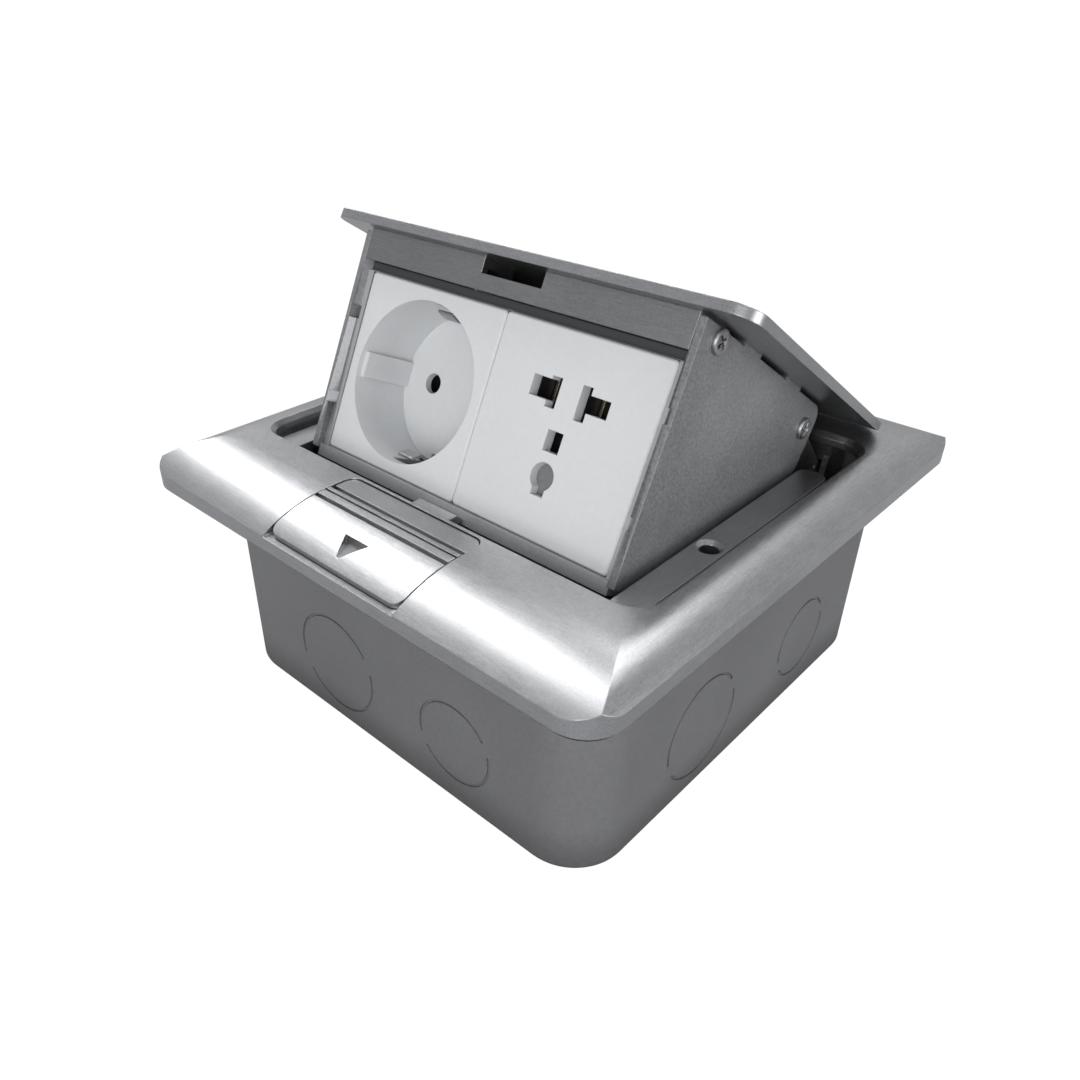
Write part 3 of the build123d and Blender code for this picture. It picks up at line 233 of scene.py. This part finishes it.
def holder_coat_and_painted_shade():
    """Light grey of the holder, with painted shade in the recess over the modules."""
    material = speckled("holder_plastic", (0.34, 0.345, 0.35), (0.42, 0.425, 0.43), 0.5, 1000,
                        0.02)
    paint = material.node_tree.nodes["Principled BSDF"].inputs["Base Color"]
    coat = paint.links[0].from_socket
    # Painted shade: the holder turns dark above the start of its top border on the modules' face
    place = node(material, "ShaderNodeTexCoord")
    along = material.node_tree.nodes.new("ShaderNodeVectorMath")
    along.operation = "DOT_PRODUCT"
    link(material, place.outputs["Object"], along.inputs[0])
    along.inputs[1].default_value = FACE_UP
    in_painted_shade = math_node(material, "GREATER_THAN", along.outputs["Value"],
                      FACE_AT.dot(FACE_UP) + HOLDER_PAINTED_SHADE_FROM)
    link(material, mix_colors(material, in_painted_shade, coat, HOLDER_PAINTED_SHADE), paint)
    return material


def box_coat():
    """Grey coat of the back box, with painted shade towards the foot where the walls turn under.
    """
    material = speckled("box_coat", (0.135, 0.136, 0.139), (0.175, 0.176, 0.179), 0.6, 900, 0.02)
    paint = material.node_tree.nodes["Principled BSDF"].inputs["Base Color"]
    coat = paint.links[0].from_socket
    # Painted shade: the coat darkens from FOOT_HIGH down to FOOT_LOW
    low = node(material, "ShaderNodeMapRange", From_Min=FOOT_LOW, From_Max=FOOT_HIGH,
               To_Min=FOOT_SHADE, To_Max=1.0)
    low.interpolation_type = "SMOOTHSTEP"
    link(material, place_parts(material)["Z"], low.inputs["Value"])
    link(material, mix_colors(material, 1.0, coat, low.outputs["Result"], "MULTIPLY"), paint)
    return material


aluminium_frame = brushed("aluminium_frame", (0.50, 0.505, 0.515), 0.33, True)
FINISHES = {
    "frame": aluminium_frame,
    "latch_button": aluminium_frame,
    "lid": brushed("aluminium_lid", (0.46, 0.465, 0.475), 0.31, False),
    "back_box": box_coat(),
    "gasket": speckled(
        "gasket_rubber", (0.008, 0.008, 0.008), (0.02, 0.02, 0.02), 0.6, 1200, 0.02),
    "side_plate": speckled(
        "plate_coat", (0.20, 0.205, 0.212), (0.40, 0.405, 0.415), 0.48, 1500, 0.03, 0.7),
    "top_rail": brushed("rail_metal", (0.34, 0.345, 0.35), 0.38, False),
    "module_carrier": holder_coat_and_painted_shade(),
    "cover": speckled(
        "cover_plastic", (0.66, 0.672, 0.68), (0.70, 0.712, 0.72), 0.34, 700, 0.004),
    "housing": speckled(
        "housing_plastic", (0.012, 0.012, 0.013), (0.028, 0.028, 0.03), 0.5, 900, 0.01),
    "shutter": speckled(
        "shutter_plastic", (0.16, 0.165, 0.17), (0.22, 0.225, 0.23), 0.5, 900, 0.01),
    "brass": speckled(
        "contact_metal", (0.22, 0.20, 0.16), (0.34, 0.31, 0.25), 0.35, 1400, 0.01, 1.0),
    "steel": speckled(
        "zinc_steel", (0.34, 0.34, 0.345), (0.50, 0.50, 0.505), 0.36, 1100, 0.015, 1.0),
}
FINISH_BY_PART = (("side_plate", "side_plate"), ("socket_cover", "cover"),
                  ("socket_housing", "housing"), ("shutter", "shutter"), ("contact", "brass"))


def finish_of(name):
    """Gives the finish of a node, by its name or a part of its name."""
    if name in FINISHES:
        return FINISHES[name]
    for part, finish_name in FINISH_BY_PART:
        if part in name:
            return FINISHES[finish_name]
    return FINISHES["steel"]


for name, cad_node in nodes.items():
    cad_node.data.materials.clear()
    cad_node.data.materials.append(finish_of(name))


# Pieces modelled over plain nodes
def clear_selection():
    """Deselects everything, also in a mesh that was left in edit mode."""
    if bpy.context.object and bpy.context.object.mode != "OBJECT":
        bpy.ops.object.mode_set(mode="OBJECT")
    bpy.ops.object.select_all(action="DESELECT")


def pick(piece):
    """Makes a piece the only selected and active one."""
    clear_selection()
    piece.select_set(True)
    bpy.context.view_layer.objects.active = piece


def bar(name, low, high):
    """Adds a block between two corners in mm."""
    clear_selection()
    size = [(b - a) * MM for a, b in zip(low, high)]
    middle = [(a + b) / 2 * MM for a, b in zip(low, high)]
    bpy.ops.mesh.primitive_cube_add(size=1, location=middle, scale=size)
    made = bpy.context.object
    made.name = name
    bpy.ops.object.transform_apply(location=True, rotation=True, scale=True)
    return made


def rod(name, radius, low, high):
    """Adds an upright round bar between two heights in mm."""
    clear_selection()
    bpy.ops.mesh.primitive_cylinder_add(vertices=40, radius=radius * MM, depth=(high - low) * MM,
                                        location=(0, 0, (low + high) / 2 * MM))
    made = bpy.context.object
    made.name = name
    bpy.ops.object.transform_apply(location=True, rotation=True, scale=True)
    return made


def work(piece, tool, operation):
    """Cuts a tool from a piece, or joins it to the piece, and removes the tool."""
    pick(piece)
    change = piece.modifiers.new("cut", "BOOLEAN")
    change.operation = operation
    change.solver = "EXACT"
    change.object = tool
    bpy.ops.object.modifier_apply(modifier=change.name)
    bpy.data.objects.remove(tool, do_unlink=True)


def soften(piece, width):
    """Rounds the sharp edges of a piece by a width in mm."""
    pick(piece)
    edge = piece.modifiers.new("edge", "BEVEL")
    edge.width = width * MM
    edge.segments = 2
    edge.limit_method = "ANGLE"
    edge.angle_limit = radians(40)
    bpy.ops.object.modifier_apply(modifier=edge.name)


def settle(piece, matrix):
    """Moves a piece by a matrix and puts its place into its mesh."""
    pick(piece)
    piece.matrix_world = matrix
    bpy.ops.object.transform_apply(location=True, rotation=True, scale=True)


def finish(piece, finish_name, slot, body, *stands_for):
    """Gives a piece its finish, and says what it rides on and stands for; the slot is not used.
    """
    pick(piece)
    bpy.ops.object.shade_smooth_by_angle(angle=radians(28))
    piece.data.materials.clear()
    piece.data.materials.append(FINISHES[finish_name])
    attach(piece, body)
    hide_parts(*stands_for)


def even_shading(piece):
    """Joins flat triangles and lets large faces lead the shading, so slivers don't show."""
    pick(piece)
    bpy.ops.object.mode_set(mode="EDIT")
    bpy.ops.mesh.select_all(action="SELECT")
    bpy.ops.mesh.dissolve_limited(angle_limit=radians(0.4))
    bpy.ops.object.mode_set(mode="OBJECT")
    bpy.ops.object.shade_smooth_by_angle(angle=radians(9))
    change = piece.modifiers.new("even", "WEIGHTED_NORMAL")
    change.keep_sharp = True
    bpy.ops.object.modifier_apply(modifier=change.name)


def merged_copy(name, node_name):
    """Copies the mesh of a plain node into a new piece and merges its loose triangles."""
    made = bpy.data.objects.new(name, nodes[node_name].data.copy())
    bpy.context.scene.collection.objects.link(made)
    pick(made)
    bpy.ops.object.mode_set(mode="EDIT")
    bpy.ops.mesh.select_all(action="SELECT")
    bpy.ops.mesh.remove_doubles(threshold=0.001 * MM)
    bpy.ops.object.mode_set(mode="OBJECT")
    return made


# Pan head screws of the side plates, sizes in mm
HEAD_R, HEAD_T, SHANK_R = 2.7, 0.9, 1.5
CROSS_HALF_W, CROSS_HALF_L, CROSS_FLOOR = 0.38, 1.65, 0.15
CROSS_MIDDLE, CROSS_MIDDLE_FLOOR = 0.62, 0.12
ABOVE_HEAD = 2


def pan_head_screw(name, length):
    """Models a pan head screw with a cross recess, its head outwards along Z from its seat."""
    head = rod(name, HEAD_R, 0, HEAD_T)
    bpy.ops.object.mode_set(mode="EDIT")
    bpy.ops.mesh.select_all(action="DESELECT")
    bpy.ops.object.mode_set(mode="OBJECT")
    for face_of_head in head.data.polygons:
        face_of_head.select = face_of_head.normal.z > 0.9
    bpy.ops.object.mode_set(mode="EDIT")
    bpy.ops.mesh.inset(thickness=0.45 * MM)
    bpy.ops.transform.translate(value=(0, 0, -0.02 * MM))
    bpy.ops.mesh.select_all(action="DESELECT")
    bpy.ops.object.mode_set(mode="OBJECT")
    for edge_of_head in head.data.edges:
        ends = [head.data.vertices[i].co for i in edge_of_head.vertices]
        edge_of_head.select = all(e.z > (HEAD_T - 0.05) * MM and e.xy.length > (HEAD_R - 0.1) * MM
                                  for e in ends)
    bpy.ops.object.mode_set(mode="EDIT")
    bpy.ops.mesh.bevel(offset=0.4 * MM, segments=4, profile=0.5)
    bpy.ops.object.mode_set(mode="OBJECT")
    for half_x, half_y in ((CROSS_HALF_W, CROSS_HALF_L), (CROSS_HALF_L, CROSS_HALF_W)):
        work(head, bar("recess", (-half_x, -half_y, CROSS_FLOOR), (half_x, half_y, ABOVE_HEAD)),
             "DIFFERENCE")
    recess_floor = bar("recess_floor", (-CROSS_MIDDLE, -CROSS_MIDDLE, CROSS_MIDDLE_FLOOR),
                       (CROSS_MIDDLE, CROSS_MIDDLE, ABOVE_HEAD))
    work(head, recess_floor, "DIFFERENCE")
    work(head, rod("shank", SHANK_R, -length, 0.1), "UNION")
    soften(head, 0.05)
    return head


for hand, sign in (("left", -1), ("right", 1)):
    for spot, cross_turn in (("front", 25), ("rear", 62)):
        screw_name = f"side_screw_{hand}_{spot}"
        low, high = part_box(screw_name)
        screw_piece = pan_head_screw(f"cross_head_{hand}_{spot}",
                                     (high.x - low.x) / MM - HEAD_T)
        seat_x = high.x - HEAD_T * MM if sign > 0 else low.x + HEAD_T * MM
        place = Matrix.Translation((seat_x, (low.y + high.y) / 2, (low.z + high.z) / 2))
        outwards = Matrix.Rotation(radians(90 * sign), 4, "Y")
        twist = Matrix.Rotation(radians(cross_turn), 4, "Z")
        settle(screw_piece, place @ outwards @ twist)
        finish(screw_piece, "steel", "screw_steel", "carriage", screw_name)

# Slots for the modules' clips in the side plates and in the holder between them, in mm
CLIP_SLOTS = ((10.6, 13.7), (32.7, 35.9))
PLATE_SLOT_X, PLATE_SLOT_DEPTH = (46.9, 47.9), (-5, 3)
HOLDER_SLOT_X, HOLDER_SLOT_DEPTH = (46.2, 47.3), (-3, 2)


def cut_clip_slots(piece, sign, across, depth):
    """Cuts the clip slots of one side out of a piece."""
    near, far = sorted(sign * x for x in across)
    for low_v, high_v in CLIP_SLOTS:
        slot_cut = bar("slot", (near, low_v, depth[0]), (far, high_v, depth[1]))
        settle(slot_cut, ON_FACE)
        work(piece, slot_cut, "DIFFERENCE")


for hand, sign in (("left", -1), ("right", 1)):
    plate = merged_copy(f"plate_{hand}", f"side_plate_{hand}")
    cut_clip_slots(plate, sign, PLATE_SLOT_X, PLATE_SLOT_DEPTH)
    finish(plate, "side_plate", "plate_coat", "carriage", f"side_plate_{hand}")

holder = merged_copy("module_holder", "module_carrier")
for sign in (-1, 1):
    cut_clip_slots(holder, sign, HOLDER_SLOT_X, HOLDER_SLOT_DEPTH)
finish(holder, "module_carrier", "holder_plastic", "carriage", "module_carrier")

# Three cut lines across the latch button leave two narrow ribs between them, in mm
LINES_Y = ((56.4, 57.3), (58.9, 59.5), (61.4, 62.5))
LINE_HALF_W, LINE_FLOOR, LINE_TOP = 25, 63.7, 67
button = merged_copy("ribbed_button", "latch_button")
for rear_y, front_y in LINES_Y:
    work(button, bar("line", (-LINE_HALF_W, -front_y, LINE_FLOOR),
                     (LINE_HALF_W, -rear_y, LINE_TOP)), "DIFFERENCE")
finish(button, "latch_button", "brushed_aluminium", "latch", "latch_button")
even_shading(button)

# Latch springs, held at the frame; nothing here shortens them as the latch slides out to the
# front
for hand in ("left", "right"):
    coil = merged_copy(f"latch_coil_{hand}", f"latch_spring_{hand}")
    finish(coil, "steel", "spring_steel", "base", f"latch_spring_{hand}")
    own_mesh(coil)

# Shutter that shows behind the round opening alone, in mm on the modules' face
shutter = bar("round_shutter", (17.6, 7.8, -3.9), (27.0, 18.2, -2.4))
settle(shutter, ON_FACE)
soften(shutter, 0.25)
finish(shutter, "shutter", "shutter_plastic", "carriage", "universal_shutter")

# Floor, light and camera
clear_selection()
bpy.ops.mesh.primitive_plane_add(size=6.0, location=(0, 0, 0))
floor = bpy.context.object
floor.name = "floor"
floor_material, floor_shader = new_material("floor_paint", (0.42, 0.42, 0.43), 0.0, 0.9)
white = node(floor_material, "ShaderNodeEmission", Color=(1, 1, 1, 1), Strength=1.05)
floor_path = node(floor_material, "ShaderNodeLightPath")
floor_seen = math_node(floor_material, "MULTIPLY", floor_path.outputs["Is Camera Ray"], 0.96)
floor_mix = node(floor_material, "ShaderNodeMixShader")
floor_end = floor_material.node_tree.nodes["Material Output"]
link(floor_material, floor_seen, floor_mix.inputs["Fac"])
link(floor_material, floor_shader.outputs["BSDF"], floor_mix.inputs[1])
link(floor_material, white.outputs["Emission"], floor_mix.inputs[2])
link(floor_material, floor_mix.outputs["Shader"], floor_end.inputs["Surface"])
floor.data.materials.append(floor_material)

LIT_CENTRE = Vector((0, 0, 0.06))


def lamp(name, toward, distance, width, length, power):
    """Adds a soft lamp in a direction from the object, with its size in metres."""
    data = bpy.data.lights.new(name, "AREA")
    data.shape = "RECTANGLE"
    data.size = width
    data.size_y = length
    data.energy = power
    made = bpy.data.objects.new(name, data)
    bpy.context.scene.collection.objects.link(made)
    made.location = Vector(toward).normalized() * distance + LIT_CENTRE
    made.rotation_euler = Vector(toward).to_track_quat("Z", "Y").to_euler()


lamp("strip", (-0.66, 0.09, 0.75), 0.8, 0.10, 0.60, 2.1)
lamp("rear", (0.05, 0.50, 0.865), 0.9, 0.80, 0.12, 2.7)
lamp("side", (1.0, 0.10, 0.06), 1.0, 0.6, 0.5, 3.4)
lamp("front", (0.40, -0.88, 0.25), 1.0, 0.7, 0.6, 5.4)

world = bpy.data.worlds.new("studio")
bpy.context.scene.world = world
world.use_nodes = True
tree = world.node_tree
background = tree.nodes["Background"]
path = tree.nodes.new("ShaderNodeLightPath")
seen = tree.nodes.new("ShaderNodeMix")
seen.data_type = "RGBA"
seen.inputs["A"].default_value = (0.47, 0.475, 0.485, 1)
seen.inputs["B"].default_value = (1, 1, 1, 1)
tree.links.new(path.outputs["Is Camera Ray"], seen.inputs["Factor"])
tree.links.new(seen.outputs["Result"], background.inputs["Color"])
background.inputs["Strength"].default_value = 1.0

PHOTO_SIZE = 1080.0
FOCAL_PX = 923.4
AXIS_PX = (505.4, 556.4)
CAMERA_AT = Vector((135.6, -168.0, 165.9)) * MM
LOOK = Vector((-0.5725, 0.6183, -0.5385))
ACROSS = Vector((0.7322, 0.6811, 0.0037))
camera_data = bpy.data.cameras.new("camera")
camera_data.sensor_width = 36.0
camera_data.lens = FOCAL_PX / PHOTO_SIZE * camera_data.sensor_width
camera_data.shift_x = (PHOTO_SIZE / 2 - AXIS_PX[0]) / PHOTO_SIZE
camera_data.shift_y = (AXIS_PX[1] - PHOTO_SIZE / 2) / PHOTO_SIZE
camera_data.clip_start = 0.01
camera = bpy.data.objects.new("camera", camera_data)
bpy.context.scene.collection.objects.link(camera)
back = -LOOK.normalized()
up = back.cross(ACROSS).normalized()
side = up.cross(back)
turn = Matrix((side, up, back)).transposed().to_4x4()
camera.matrix_world = Matrix.Translation(CAMERA_AT) @ turn
bpy.context.scene.camera = camera

bpy.context.scene.view_settings.view_transform = "Standard"
bpy.context.view_layer.update()
